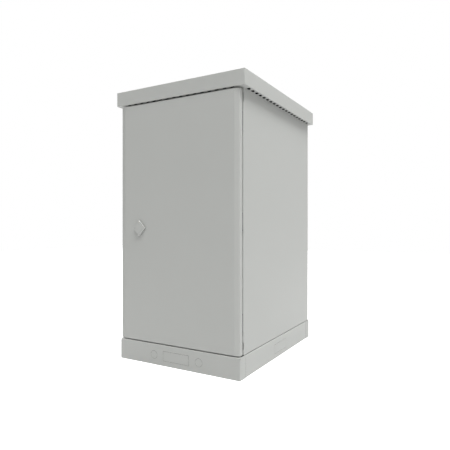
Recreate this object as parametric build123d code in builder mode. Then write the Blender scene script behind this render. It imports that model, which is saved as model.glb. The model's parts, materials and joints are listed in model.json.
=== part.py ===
from build123d import *
from math import cos, radians, sin
import os

# Outdoor rack cabinet. X is right seen from the front, Y to the rear, Z up.
# The origin is on the floor, at the centre of the plinth's footprint. Millimetres.

# Body, door and plinth envelope
body_width = 600.0
plinth_overhang = 3.0
plinth_depth = 784.0
plinth_height = 88.5
door_setback = 0.5
rear_setback = 4.0
door_height = 1031.0
door_thickness = 26.0
door_bottom_gap = 4.0
door_seam = 7.0
roof_gap = 7.0
air_space = 55.0

# Sheets and folds
plinth_sheet = 2.0
body_sheet = 1.5
floor_sheet = 2.0
door_sheet = 1.5
roof_sheet = 1.5
strut_sheet = 2.0
rail_sheet = 2.0
fold_radius = 3.0
edge_radius = 2.0
slack = 0.2

# Plinth details
side_return = 47.0
plinth_flange = 40.0
joint_flange = 25.0
seam_radius = 1.8
relief_notch = 4.0
knockout_width = 132.0
knockout_height = 42.0
knockout_drop = 2.0
knockout_round = 35.0
knockout_round_spacing = 228.0
knockout_kerf = 1.0
knockout_depth = 0.9
knockout_tab = 3.0
anchor_radius = 7.0
anchor_spacing_x = 520.0
joint_bolt_spacing = 40.0
floor_bolt_spacing = 560.0

# Door frame around the opening
frame_width = 38.0
frame_height = 47.0
frame_ear_gap = 3.0
seal_lip = 19.0
pan_edge = 25.0
rear_flange = 30.0
side_panel_lift = 1.5
gasket_thickness = 3.0
gasket_width = 16.0
rear_panel_inset = 8.0
rear_panel_margin = 2.0

# Roof
roof_overhang = 25.0
roof_nose = 2.0
roof_height = 62.0
strip_height = 20.0
strip_gap = 2.0
vent_slot_length = 18.0
vent_slot_width = 13.0
vent_slot_pitch = 35.0
vent_slot_edge = 14.0
vent_end_margin = 44.0
spacer_radius = 10.0
roof_bolt_spacing_x = 480.0
roof_bolt_spacing_y = 600.0
top_vent_length = 140.0
top_vent_width = 6.0
top_vent_pitch = 20.0
top_vent_rows = 9

# Floor
cable_entry_length = 300.0
cable_entry_width = 120.0
cable_entry_from_rear = 158.0
gland_sheet = 2.0
gland_lap = 20.0
grommet_radius = 25.0
grommet_pitch = 90.0
grommet_count = 3
grommet_lip = 4.0

earth_stud_from_side = 63.5
earth_stud_from_rear = 58.0
earth_stud_length = 28.0

# Rack rails, 19 inch spacing
rack_unit = 44.45
rack_hole_spacing = 465.1
rack_opening = 450.0
rack_hole = 9.5
rack_hole_rise = (6.35, 22.225, 38.1)
rack_depth = 600.0
rail_side_gap = 23.5
rail_side = 40.0
rail_return = 14.0
rail_fold = 2.0
rail_margin = 20.0
strut_height = 40.0
strut_lip = 15.0
strut_end_margin = 11.5
strut_gap = 10.5

# Door
door_lip = 25.0
bevel_width = 22.0
bevel_depth = 5.0
seal_width = 12.0
seal_clearance = 0.4
stiffener_height = 60.0
stiffener_depth = 14.0
stiffener_lip = 15.0
stiffener_from_end = 235.5
stiffener_end_gap = 14.0

# Hinges
hinge_from_end = 123.5
hinge_height = 70.0
hinge_cut_height = 77.0
hinge_cut_width = 13.0
hinge_cut_edge = 3.0
knuckle_radius = 3.0
pin_radius = 1.6
pin_play = 0.05
pin_head = 1.5
leaf_sheet = 1.6
leaf_width = 20.0
knuckle_gap = 0.4

# Lock
lock_from_edge = 108.0
lock_drop = 25.0
lock_turn = 90.0
cover_width = 64.5
cover_height = 71.5
cover_corner = 2.6
cover_sheet = 2.2
cover_rim = 5.2
cover_gap = 0.3
cover_reveal = 2.5
flange_thickness = 2.5
rivet_radius = 2.0
rivet_head = 3.6
rivet_rise = 27.0
rivet_head_height = 1.4
sealing_hole_radius = 2.0
sealing_hole_inset = 9.5
barrel_radius = 11.0
barrel_length = 24.0
insert_radius = 8.0
insert_play = 0.05
key_pin_radius = 1.5
key_bore_radius = 4.5
key_bit = 1.6
key_depth = 9.0
lock_nut_width = 27.0
lock_nut_height = 5.0
lock_square = 9.0
cam_rim = 1.8
cam_sheet = 3.0
rod_stroke = 18.0
rod_pin_radius = 2.5
rod_pin_play = 0.6
rod_width = 20.0
rod_sheet = 3.0
rod_spacing = 22.0
rod_end = 8.0
rod_tip_gap = 6.0
rod_frame_gap = 1.5
cam_rod_gap = 0.5
guide_inset = 30.0
guide_height = 24.0
guide_sheet = 2.0
guide_foot = 14.0
guide_play = 0.2
guide_wall = 4.0

# Fasteners
m8_radius = 4.0
m8_hole = 4.5
m8_head_width = 13.0
m8_head = 5.3
m8_nut = 6.5
m6_radius = 3.0
m6_hole = 3.3
m6_head_width = 10.0
m6_head = 4.0
m6_nut = 5.0
washer_sheet = 1.6
washer_radius = 9.0
m8_length_past_nut = 3.0

# Planes and edges that several pieces share
plinth_width = body_width + 2 * plinth_overhang
front_y = -plinth_depth / 2
door_front_y = front_y + door_setback
door_inner_y = door_front_y + door_sheet
door_rear_y = door_front_y + door_thickness
frame_y = door_rear_y + door_seam
frame_inner_y = frame_y + body_sheet
rear_y = plinth_depth / 2 - rear_setback
rear_panel_inner_y = rear_y - body_sheet
rear_flange_y = rear_panel_inner_y - gasket_thickness
side_x = body_width / 2
side_inner_x = side_x - body_sheet
frame_x = side_x - frame_width

door_bottom_z = plinth_height + door_bottom_gap
door_top_z = door_bottom_z + door_height
door_middle_z = door_bottom_z + door_height / 2
skirt_z = door_top_z + roof_gap
roof_top_z = skirt_z + roof_height
body_top_z = roof_top_z - roof_sheet - air_space
side_bottom_z = plinth_height + side_panel_lift
opening_bottom_z = door_bottom_z + frame_height
opening_top_z = door_top_z - frame_height

cable_entry_y = rear_y - cable_entry_from_rear
earth_stud_place = (earth_stud_from_side - side_inner_x, rear_y - earth_stud_from_rear)

rail_outer_x = side_inner_x - rail_side_gap
rail_length = opening_top_z - opening_bottom_z
rack_units = int((rail_length - 2 * rail_margin) / rack_unit)
lower_strut_z = opening_bottom_z + strut_gap + strut_height / 2
upper_strut_z = opening_top_z - strut_gap - strut_height / 2
rail_bolt_y = rack_depth / 2 - rail_side / 2

hinge_x = side_x - knuckle_radius
hinge_y = (door_rear_y + frame_y) / 2
hinge_pitch = door_height / 2 - hinge_from_end
hinge_zs = [door_middle_z + step * hinge_pitch for step in (-1, 0, 1)]
hinge_names = ("lower", "middle", "upper")

lock_x = -side_x + lock_from_edge
lock_z = door_middle_z - lock_drop
rod_front_y = frame_inner_y + rod_frame_gap
rod_rear_y = rod_front_y + rod_sheet
cam_rear_y = rod_front_y - cam_rod_gap
cam_front_y = cam_rear_y - cam_sheet
cam_pin_reach = rod_stroke / 2 / sin(radians(lock_turn / 2))
cam_pin_near = cam_pin_reach * cos(radians(lock_turn / 2))


def folded(points, sheet, radius):
    """Section of a folded sheet, from the corners of its middle line."""
    with BuildSketch() as section:
        with BuildLine():
            FilletPolyline(*points, radius=radius - sheet / 2)
        trace(line_width=sheet)
    return section.sketch


def knockout_outline(width, height, rounds, spacing):
    """Kerfs of the cable knock-outs: a rectangle, and discs beside it, held by small tabs."""
    with BuildSketch() as kerfs:
        Rectangle(width, height)
        Rectangle(width - 2 * knockout_kerf, height - 2 * knockout_kerf, mode=Mode.SUBTRACT)
        if rounds:
            with GridLocations(spacing, 0, 2, 1):
                Circle(knockout_round / 2)
                Circle(knockout_round / 2 - knockout_kerf, mode=Mode.SUBTRACT)
                Rectangle(2 * knockout_round, knockout_tab, mode=Mode.SUBTRACT)
        with GridLocations(width / 2, 0, 2, 1):
            Rectangle(knockout_tab, 2 * height, mode=Mode.SUBTRACT)
        Rectangle(width + 2 * knockout_kerf, knockout_tab, mode=Mode.SUBTRACT)
    return kerfs.sketch


def rhombus(width, height, corner):
    """Diamond outline with rounded corners, centred on the origin."""
    with BuildSketch() as outline:
        with BuildLine():
            Polyline((0, height / 2), (width / 2, 0), (0, -height / 2), (-width / 2, 0), close=True)
        make_face()
        fillet(outline.vertices(), corner)
    return outline.sketch


def finish(part, name):
    """Label a piece and write its file."""
    part.label = name
    export_step(part, f"parts/{name}.step")


os.makedirs("parts", exist_ok=True)


# Plinth front and rear panels, folded pans that wrap the corners
for end, name in ((-1, "front"), (1, "rear")):
    face_y = end * plinth_depth / 2
    return_y = end * (plinth_depth / 2 - side_return)
    with BuildPart() as plinth_end:
        with BuildSketch(Plane.XY):
            with Locations((0, (face_y + return_y) / 2)):
                Rectangle(plinth_width, side_return)
        extrude(amount=plinth_height)
        outer = plinth_end.faces().sort_by(Axis.Y)[0 if end < 0 else -1]
        corners = plinth_end.edges().filter_by(Axis.Z).filter_by_position(
            Axis.Y, face_y - 1, face_y + 1)
        fillet(corners + outer.edges().filter_by(Axis.X), fold_radius)
        open_side = plinth_end.faces().filter_by(Axis.Y).sort_by(Axis.Y)[-1 if end < 0 else 0]
        offset(amount=-plinth_sheet, openings=open_side)
        with BuildSketch(Plane.XY):
            with GridLocations(plinth_width - joint_flange, 0, 2, 1):
                with Locations((0, return_y + end * plinth_sheet / 2)):
                    Rectangle(joint_flange, plinth_sheet)
        extrude(amount=plinth_height)
        with BuildSketch(Plane.XZ.offset(-face_y)):
            with Locations((0, plinth_height / 2 - knockout_drop)):
                add(knockout_outline(knockout_width, knockout_height, True, knockout_round_spacing))
        extrude(amount=end * knockout_depth, mode=Mode.SUBTRACT)
        with BuildSketch(Plane.XY):
            with Locations((0, end * (plinth_depth / 2 - plinth_flange / 2 - plinth_sheet / 2))):
                with GridLocations(anchor_spacing_x, 0, 2, 1):
                    Circle(anchor_radius)
        extrude(amount=plinth_sheet, mode=Mode.SUBTRACT)
        bolt_plane = Plane.XZ.offset(-return_y)
        with BuildSketch(bolt_plane):
            with Locations((0, plinth_height / 2)):
                with GridLocations(plinth_width - joint_flange, joint_bolt_spacing, 2, 2):
                    Circle(m8_hole)
        extrude(amount=-end * plinth_sheet, mode=Mode.SUBTRACT)
        with BuildSketch(Plane.XY.offset(plinth_height - relief_notch - plinth_sheet)):
            with Locations((0, face_y)):
                with GridLocations(plinth_width, 0, 2, 1):
                    Rectangle(2 * relief_notch, 2 * relief_notch, rotation=45)
        extrude(amount=relief_notch, mode=Mode.SUBTRACT)
    finish(plinth_end.part, f"plinth_{name}_panel")

# Plinth side panels, between the returns of the front and rear panels
plinth_side_length = plinth_depth - 2 * side_return
for side, name in ((-1, "left"), (1, "right")):
    with BuildPart() as plinth_side:
        with BuildSketch(Plane.XY):
            with Locations((side * (plinth_width / 2 - plinth_flange / 2), 0)):
                Rectangle(plinth_flange, plinth_side_length)
        extrude(amount=plinth_height)
        outer = plinth_side.faces().sort_by(Axis.X)[0 if side < 0 else -1]
        fillet(outer.edges().filter_by(Axis.Y), fold_radius)
        outer = plinth_side.faces().sort_by(Axis.X)[0 if side < 0 else -1]
        fillet(outer.edges().filter_by(Axis.Z), seam_radius)
        open_side = plinth_side.faces().filter_by(Axis.X).sort_by(Axis.X)[-1 if side < 0 else 0]
        offset(amount=-plinth_sheet, openings=open_side)
        with BuildSketch(Plane.YZ.offset(side * plinth_width / 2)):
            with Locations((0, plinth_height / 2 - knockout_drop)):
                add(knockout_outline(knockout_width, knockout_height, False, 0))
        extrude(amount=-side * knockout_depth, mode=Mode.SUBTRACT)
        with BuildSketch(Plane.XZ.offset(plinth_side_length / 2)):
            with Locations((side * (plinth_width - joint_flange) / 2, plinth_height / 2)):
                with GridLocations(0, joint_bolt_spacing, 1, 2):
                    Circle(m8_hole)
        extrude(amount=-plinth_side_length, mode=Mode.SUBTRACT)
        with BuildSketch(Plane.XY.offset(plinth_height - plinth_sheet)):
            with Locations((side * (plinth_width - plinth_flange) / 2, 0)):
                with GridLocations(0, floor_bolt_spacing, 1, 2):
                    Circle(m8_hole)
        extrude(amount=plinth_sheet, mode=Mode.SUBTRACT)
    finish(plinth_side.part, f"plinth_{name}_panel")

# Bolts and nuts through the plinth's end flanges
with BuildPart() as plinth_bolts:
    for end in (-1, 1):
        return_y = end * (plinth_depth / 2 - side_return)
        grip = Plane.XZ.offset(-(return_y + end * plinth_sheet))
        far = Plane.XZ.offset(-(return_y - end * plinth_sheet))
        with BuildSketch(grip):
            with Locations((0, plinth_height / 2)):
                with GridLocations(plinth_width - joint_flange, joint_bolt_spacing, 2, 2):
                    RegularPolygon(m8_head_width / 2, 6, major_radius=False)
        extrude(amount=-end * m8_head)
        with BuildSketch(grip):
            with Locations((0, plinth_height / 2)):
                with GridLocations(plinth_width - joint_flange, joint_bolt_spacing, 2, 2):
                    Circle(m8_radius)
        extrude(amount=end * (2 * plinth_sheet + m8_nut + m8_length_past_nut))
        with BuildSketch(far):
            with Locations((0, plinth_height / 2)):
                with GridLocations(plinth_width - joint_flange, joint_bolt_spacing, 2, 2):
                    RegularPolygon(m8_head_width / 2, 6, major_radius=False)
        extrude(amount=end * m8_nut)
finish(plinth_bolts.part, "plinth_bolts")

# Floor pan with upturned edges, standing on the plinth
body_depth_inside = rear_flange_y - frame_inner_y
body_middle_y = (rear_flange_y + frame_inner_y) / 2
with BuildPart() as floor_pan:
    with BuildSketch(Plane.XY.offset(plinth_height)):
        with Locations((0, body_middle_y)):
            Rectangle(2 * side_inner_x, body_depth_inside)
    extrude(amount=pan_edge)
    fillet(floor_pan.edges().filter_by(Axis.Z), fold_radius)
    offset(amount=-floor_sheet, openings=floor_pan.faces().sort_by(Axis.Z)[-1])
    with BuildSketch(Plane.XY.offset(plinth_height)):
        with GridLocations(2 * side_x - rear_flange, 0, 2, 1):
            with Locations((0, rear_flange_y - fold_radius / 2)):
                Rectangle(rear_flange, fold_radius)
    extrude(amount=pan_edge, mode=Mode.SUBTRACT)
    with BuildSketch(Plane.XY.offset(plinth_height)):
        with Locations((0, cable_entry_y)):
            Rectangle(cable_entry_length, cable_entry_width)
        with GridLocations(plinth_width - plinth_flange, floor_bolt_spacing, 2, 2):
            Circle(m8_hole)
    extrude(amount=floor_sheet, mode=Mode.SUBTRACT)
finish(floor_pan.part, "floor_pan")

# Bolts that hold the floor pan to the plinth
with BuildPart() as floor_bolts:
    with BuildSketch(Plane.XY.offset(plinth_height + floor_sheet)):
        with GridLocations(plinth_width - plinth_flange, floor_bolt_spacing, 2, 2):
            Circle(washer_radius)
    extrude(amount=washer_sheet)
    with BuildSketch(Plane.XY.offset(plinth_height + floor_sheet + washer_sheet)):
        with GridLocations(plinth_width - plinth_flange, floor_bolt_spacing, 2, 2):
            RegularPolygon(m8_head_width / 2, 6, major_radius=False)
    extrude(amount=m8_head)
    with BuildSketch(Plane.XY.offset(plinth_height - plinth_sheet)):
        with GridLocations(plinth_width - plinth_flange, floor_bolt_spacing, 2, 2):
            RegularPolygon(m8_head_width / 2, 6, major_radius=False)
    extrude(amount=-m8_nut)
    with BuildSketch(Plane.XY.offset(plinth_height + floor_sheet)):
        with GridLocations(plinth_width - plinth_flange, floor_bolt_spacing, 2, 2):
            Circle(m8_radius)
    extrude(amount=-(floor_sheet + plinth_sheet + m8_nut + m8_length_past_nut))
finish(floor_bolts.part, "floor_bolts")

# Gland plate over the cable entry, and its closed rubber grommets
gland_z = plinth_height + floor_sheet
with BuildPart() as gland_plate:
    with BuildSketch(Plane.XY.offset(gland_z)):
        with Locations((0, cable_entry_y)):
            Rectangle(cable_entry_length + 2 * gland_lap, cable_entry_width + 2 * gland_lap)
            with GridLocations(grommet_pitch, 0, grommet_count, 1):
                Circle(grommet_radius, mode=Mode.SUBTRACT)
    extrude(amount=gland_sheet)
    fillet(gland_plate.edges().filter_by(Axis.Z).sort_by(SortBy.LENGTH)[:4], fold_radius)
finish(gland_plate.part, "gland_plate")

with BuildPart() as cable_grommets:
    with BuildSketch(Plane.XY.offset(gland_z + gland_sheet)):
        with Locations((0, cable_entry_y)):
            with GridLocations(grommet_pitch, 0, grommet_count, 1):
                Circle(grommet_radius + grommet_lip)
    extrude(amount=grommet_lip, taper=20)
    with BuildSketch(Plane.XY.offset(gland_z + gland_sheet)):
        with Locations((0, cable_entry_y)):
            with GridLocations(grommet_pitch, 0, grommet_count, 1):
                Circle(grommet_radius)
    extrude(amount=-gland_sheet)
    with BuildSketch(Plane.XY.offset(gland_z)):
        with Locations((0, cable_entry_y)):
            with GridLocations(grommet_pitch, 0, grommet_count, 1):
                Circle(grommet_radius + grommet_lip / 2)
    extrude(amount=-2 * grommet_lip, taper=30)
finish(cable_grommets.part, "cable_grommets")

# Side panels, folded in at the front for the door frame and at the rear for the rear panel
panel_height = body_top_z - side_bottom_z
opening_height = opening_top_z - opening_bottom_z
for side, name in ((-1, "left"), (1, "right")):
    with BuildPart() as side_panel:
        with BuildSketch(Plane.XY.offset(side_bottom_z)):
            add(folded(
                [
                    (side * frame_x, frame_y + body_sheet / 2),
                    (side * (side_x - body_sheet / 2), frame_y + body_sheet / 2),
                    (side * (side_x - body_sheet / 2), rear_flange_y - body_sheet / 2),
                    (side * (side_x - rear_flange), rear_flange_y - body_sheet / 2),
                ],
                body_sheet, edge_radius))
        extrude(amount=panel_height)
        for low_z, high_z in ((side_bottom_z, opening_bottom_z), (opening_top_z, body_top_z)):
            with BuildSketch(Plane.XY.offset(low_z)):
                with Locations((side * (side_x - frame_width / 2), frame_y + fold_radius / 2)):
                    Rectangle(frame_width, fold_radius)
            extrude(amount=high_z - low_z, mode=Mode.SUBTRACT)
        with BuildSketch(Plane.XY.offset(opening_bottom_z)):
            with Locations((side * (frame_x + body_sheet / 2), frame_y - seal_lip / 2)):
                Rectangle(body_sheet, seal_lip)
        extrude(amount=opening_height)
        if side > 0:
            with BuildSketch(Plane.XZ.offset(-frame_y)):
                with Locations(*[(side_x - hinge_cut_edge - hinge_cut_width / 2, z) for z in hinge_zs]):
                    Rectangle(hinge_cut_width, hinge_cut_height)
            extrude(amount=-body_sheet, mode=Mode.SUBTRACT)
    finish(side_panel.part, f"{name}_side_panel")

# Header and sill, which close the door frame with the same flange and lip
for name, lip_z, outer_z in (
        ("front_sill", opening_bottom_z, side_bottom_z),
        ("front_header", opening_top_z, body_top_z)):
    rise = 1 if outer_z > lip_z else -1
    with BuildPart() as frame_member:
        with BuildSketch(Plane.YZ):
            add(folded(
                [
                    (frame_y - seal_lip, lip_z + rise * body_sheet / 2),
                    (frame_y + body_sheet / 2, lip_z + rise * body_sheet / 2),
                    (frame_y + body_sheet / 2, outer_z),
                ],
                body_sheet, fold_radius))
        extrude(amount=frame_x + body_sheet, both=True)
        with BuildSketch(Plane.XZ.offset(-frame_y)):
            with Locations((0, (lip_z + outer_z) / 2)):
                with GridLocations(frame_x + side_x - frame_ear_gap, 0, 2, 1):
                    Rectangle(side_x - frame_ear_gap - frame_x, abs(outer_z - lip_z))
        extrude(amount=-body_sheet)
    finish(frame_member.part, name)

# Rear panel and its gasket
rear_panel_width = 2 * (side_x - rear_panel_inset)
rear_panel_height = panel_height - 2 * rear_panel_margin
rear_panel_z = (side_bottom_z + body_top_z) / 2
with BuildPart() as rear_panel:
    with BuildSketch(Plane.XZ.offset(-rear_panel_inner_y)):
        with Locations((0, rear_panel_z)):
            RectangleRounded(rear_panel_width, rear_panel_height, fold_radius)
    extrude(amount=-body_sheet)
finish(rear_panel.part, "rear_panel")

with BuildPart() as rear_gasket:
    with BuildSketch(Plane.XZ.offset(-rear_flange_y)):
        with Locations((0, rear_panel_z)):
            Rectangle(rear_panel_width - 2 * rear_panel_margin, rear_panel_height - 2 * rear_panel_margin)
            Rectangle(
                rear_panel_width - 2 * rear_panel_margin - 2 * gasket_width,
                rear_panel_height - 2 * rear_panel_margin - 2 * gasket_width,
                mode=Mode.SUBTRACT)
    extrude(amount=-gasket_thickness)
finish(rear_gasket.part, "rear_gasket")

# Top plate with its vent slots, under the canopy
with BuildPart() as top_plate:
    with BuildSketch(Plane.XY.offset(body_top_z)):
        with Locations((0, body_middle_y)):
            Rectangle(2 * side_inner_x, body_depth_inside)
    extrude(amount=-pan_edge)
    fillet(top_plate.edges().filter_by(Axis.Z), fold_radius)
    offset(amount=-body_sheet, openings=top_plate.faces().sort_by(Axis.Z)[0])
    with BuildSketch(Plane.XY.offset(body_top_z)):
        with GridLocations(2 * side_x - rear_flange, 0, 2, 1):
            with Locations((0, rear_flange_y - fold_radius / 2)):
                Rectangle(rear_flange, fold_radius)
    extrude(amount=-pan_edge, mode=Mode.SUBTRACT)
    with BuildSketch(Plane.XY.offset(body_top_z)):
        with GridLocations(top_vent_length + top_vent_pitch, top_vent_pitch, 2, top_vent_rows):
            Rectangle(top_vent_length, top_vent_width)
        with GridLocations(roof_bolt_spacing_x, roof_bolt_spacing_y, 2, 2):
            Circle(m6_hole)
    extrude(amount=-body_sheet, mode=Mode.SUBTRACT)
finish(top_plate.part, "top_plate")

# Roof canopy, a folded cap with a deep skirt
roof_width = body_width + 2 * roof_overhang
roof_depth = plinth_depth + 2 * roof_nose
with BuildPart() as roof_canopy:
    with BuildSketch(Plane.XY.offset(skirt_z)):
        Rectangle(roof_width, roof_depth)
    extrude(amount=roof_height)
    fillet(roof_canopy.edges().filter_by(Axis.Z) + roof_canopy.faces().sort_by(Axis.Z)[-1].edges(), edge_radius)
    offset(amount=-roof_sheet, openings=roof_canopy.faces().sort_by(Axis.Z)[0])
    with BuildSketch(Plane.XY.offset(roof_top_z)):
        with GridLocations(roof_bolt_spacing_x, roof_bolt_spacing_y, 2, 2):
            Circle(m6_hole)
    extrude(amount=-roof_sheet, mode=Mode.SUBTRACT)
finish(roof_canopy.part, "roof_canopy")

# Slotted vent strips in the overhang, angles inside the skirt
roof_inner_x = roof_width / 2 - roof_sheet
roof_inner_y = roof_depth / 2 - roof_sheet
side_slot_count = int((roof_depth - 2 * vent_end_margin) / vent_slot_pitch)
front_slot_count = int((roof_width - 2 * vent_end_margin) / vent_slot_pitch)
strip_inner_x = side_x + strip_gap
for side, name in ((-1, "left"), (1, "right")):
    with BuildPart() as side_strip:
        with BuildSketch(Plane.XZ.offset(roof_inner_y)):
            add(folded(
                [
                    (side * strip_inner_x, skirt_z + roof_sheet / 2),
                    (side * (roof_inner_x - roof_sheet / 2), skirt_z + roof_sheet / 2),
                    (side * (roof_inner_x - roof_sheet / 2), skirt_z + strip_height),
                ],
                roof_sheet, fold_radius))
        extrude(amount=-2 * roof_inner_y)
        with BuildSketch(Plane.XY.offset(skirt_z)):
            with GridLocations(2 * roof_inner_x, 2 * roof_inner_y, 2, 2):
                Rectangle(fold_radius, fold_radius, rotation=45)
            with Locations((side * (roof_width / 2 - vent_slot_edge), 0)):
                with GridLocations(0, vent_slot_pitch, 1, side_slot_count):
                    Rectangle(vent_slot_width, vent_slot_length)
        extrude(amount=strip_height, mode=Mode.SUBTRACT)
    finish(side_strip.part, f"{name}_vent_strip")

with BuildPart() as front_strip:
    with BuildSketch(Plane.YZ):
        add(folded(
            [
                (frame_y - strip_gap, skirt_z + roof_sheet / 2),
                (-roof_inner_y + roof_sheet / 2, skirt_z + roof_sheet / 2),
                (-roof_inner_y + roof_sheet / 2, skirt_z + strip_height),
            ],
            roof_sheet, fold_radius))
    extrude(amount=strip_inner_x - slack, both=True)
    with BuildSketch(Plane.XY.offset(skirt_z)):
        with Locations((0, -roof_depth / 2 + vent_slot_edge)):
            with GridLocations(vent_slot_pitch, 0, front_slot_count, 1):
                Rectangle(vent_slot_length, vent_slot_width)
    extrude(amount=strip_height, mode=Mode.SUBTRACT)
finish(front_strip.part, "front_vent_strip")

# Spacers and bolts that carry the canopy
with BuildPart() as roof_spacers:
    with BuildSketch(Plane.XY.offset(body_top_z)):
        with GridLocations(roof_bolt_spacing_x, roof_bolt_spacing_y, 2, 2):
            Circle(spacer_radius)
            Circle(m6_hole, mode=Mode.SUBTRACT)
    extrude(amount=air_space)
finish(roof_spacers.part, "roof_spacers")

with BuildPart() as roof_bolts:
    with BuildSketch(Plane.XY.offset(roof_top_z)):
        with GridLocations(roof_bolt_spacing_x, roof_bolt_spacing_y, 2, 2):
            Circle(washer_radius)
    extrude(amount=washer_sheet)
    with BuildSketch(Plane.XY.offset(roof_top_z + washer_sheet)):
        with GridLocations(roof_bolt_spacing_x, roof_bolt_spacing_y, 2, 2):
            RegularPolygon(m6_head_width / 2, 6, major_radius=False)
    extrude(amount=m6_head)
    with BuildSketch(Plane.XY.offset(body_top_z - body_sheet)):
        with GridLocations(roof_bolt_spacing_x, roof_bolt_spacing_y, 2, 2):
            RegularPolygon(m6_head_width / 2, 6, major_radius=False)
    extrude(amount=-m6_nut)
    with BuildSketch(Plane.XY.offset(roof_top_z)):
        with GridLocations(roof_bolt_spacing_x, roof_bolt_spacing_y, 2, 2):
            Circle(m6_radius)
    extrude(amount=-(roof_sheet + air_space + body_sheet + m6_nut + m6_radius))
finish(roof_bolts.part, "roof_bolts")

# Depth struts, hat sections welded to the side panels
strut_front_y = frame_inner_y + strut_end_margin
strut_rear_y = rear_flange_y - body_sheet - strut_end_margin
lip_x = side_inner_x - strut_sheet / 2
web_x = rail_outer_x + strut_sheet / 2
for level, strut_z in (("lower", lower_strut_z), ("upper", upper_strut_z)):
    low_z = strut_z - strut_height / 2
    high_z = strut_z + strut_height / 2
    for side, name in ((-1, "left"), (1, "right")):
        with BuildPart() as strut:
            with BuildSketch(Plane.XZ.offset(-strut_front_y)):
                add(folded(
                    [
                        (side * lip_x, low_z - strut_lip),
                        (side * lip_x, low_z),
                        (side * web_x, low_z),
                        (side * web_x, high_z),
                        (side * lip_x, high_z),
                        (side * lip_x, high_z + strut_lip),
                    ],
                    strut_sheet, fold_radius))
            extrude(amount=strut_front_y - strut_rear_y)
            with BuildSketch(Plane.YZ.offset(side * rail_outer_x)):
                with Locations((0, strut_z)):
                    with GridLocations(2 * rail_bolt_y, 0, 2, 1):
                        Circle(m8_hole)
            extrude(amount=side * strut_sheet, mode=Mode.SUBTRACT)
        finish(strut.part, f"{level}_{name}_strut")

# Rack rails with three square holes to each unit
rack_bottom_z = door_middle_z - rack_units * rack_unit / 2
rack_hole_zs = [
    rack_bottom_z + unit * rack_unit + rise
    for unit in range(rack_units) for rise in rack_hole_rise]
for row, row_name in ((-1, "front"), (1, "rear")):
    for side, name in ((-1, "left"), (1, "right")):
        with BuildPart() as rail:
            with BuildSketch(Plane.XY.offset(opening_bottom_z)):
                add(folded(
                    [
                        (side * (rack_opening + rail_sheet) / 2, row * (rack_depth / 2 - rail_return)),
                        (side * (rack_opening + rail_sheet) / 2, row * (rack_depth - rail_sheet) / 2),
                        (side * (rail_outer_x - rail_sheet / 2), row * (rack_depth - rail_sheet) / 2),
                        (side * (rail_outer_x - rail_sheet / 2), row * (rack_depth / 2 - rail_side)),
                    ],
                    rail_sheet, rail_fold))
            extrude(amount=rail_length)
            with BuildSketch(Plane.XZ.offset(-row * rack_depth / 2)):
                with Locations(*[(side * rack_hole_spacing / 2, z) for z in rack_hole_zs]):
                    Rectangle(rack_hole, rack_hole)
            extrude(amount=row * rail_sheet, mode=Mode.SUBTRACT)
            with BuildSketch(Plane.YZ.offset(side * rail_outer_x)):
                with Locations((row * rail_bolt_y, lower_strut_z), (row * rail_bolt_y, upper_strut_z)):
                    Circle(m8_hole)
            extrude(amount=-side * rail_sheet, mode=Mode.SUBTRACT)
        finish(rail.part, f"{row_name}_{name}_rack_rail")

# Bolts and nuts through the rails and the struts
with BuildPart() as rail_bolts:
    for side in (-1, 1):
        head_plane = Plane.YZ.offset(side * (rail_outer_x - rail_sheet))
        nut_plane = Plane.YZ.offset(side * (rail_outer_x + strut_sheet))
        with BuildSketch(head_plane):
            with Locations((0, door_middle_z)):
                with GridLocations(2 * rail_bolt_y, upper_strut_z - lower_strut_z, 2, 2):
                    RegularPolygon(m8_head_width / 2, 6, major_radius=False)
        extrude(amount=-side * m8_head)
        with BuildSketch(nut_plane):
            with Locations((0, door_middle_z)):
                with GridLocations(2 * rail_bolt_y, upper_strut_z - lower_strut_z, 2, 2):
                    RegularPolygon(m8_head_width / 2, 6, major_radius=False)
        extrude(amount=side * m8_nut)
        with BuildSketch(head_plane):
            with Locations((0, door_middle_z)):
                with GridLocations(2 * rail_bolt_y, upper_strut_z - lower_strut_z, 2, 2):
                    Circle(m8_radius)
        extrude(amount=side * (rail_sheet + strut_sheet + m8_nut + m8_length_past_nut))
finish(rail_bolts.part, "rail_bolts")

# Earth stud with its washer and nut, on the floor pan
with BuildPart() as earth_stud:
    with BuildSketch(Plane.XY.offset(plinth_height + floor_sheet)):
        with Locations(earth_stud_place):
            Circle(m8_radius)
    extrude(amount=earth_stud_length)
    with BuildSketch(Plane.XY.offset(plinth_height + floor_sheet)):
        with Locations(earth_stud_place):
            Circle(washer_radius)
    extrude(amount=washer_sheet)
    with BuildSketch(Plane.XY.offset(plinth_height + floor_sheet + washer_sheet)):
        with Locations(earth_stud_place):
            RegularPolygon(m8_head_width / 2, 6, major_radius=False)
    extrude(amount=m8_nut)
finish(earth_stud.part, "earth_stud")

# Door panel, a folded pan with bevelled vertical edges and lips turned in at the rear
with BuildSketch() as door_section:
    with BuildLine():
        Polyline(
            (-side_x, door_rear_y),
            (-side_x, door_front_y + bevel_depth),
            (-side_x + bevel_width, door_front_y),
            (side_x - bevel_width, door_front_y),
            (side_x, door_front_y + bevel_depth),
            (side_x, door_rear_y),
            close=True)
    make_face()

with BuildPart() as door_cavity:
    with BuildSketch(Plane.XY.offset(door_bottom_z + door_sheet)):
        add(door_section.sketch)
        offset(amount=-door_sheet, kind=Kind.INTERSECTION)
    extrude(amount=door_height - 2 * door_sheet)
    upright = door_cavity.edges().filter_by(Axis.Z)
    creases = upright.filter_by(lambda edge: abs(edge.center().X) < side_x - bevel_width / 2)
    fillet(door_cavity.edges() - creases, fold_radius - door_sheet)

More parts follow.
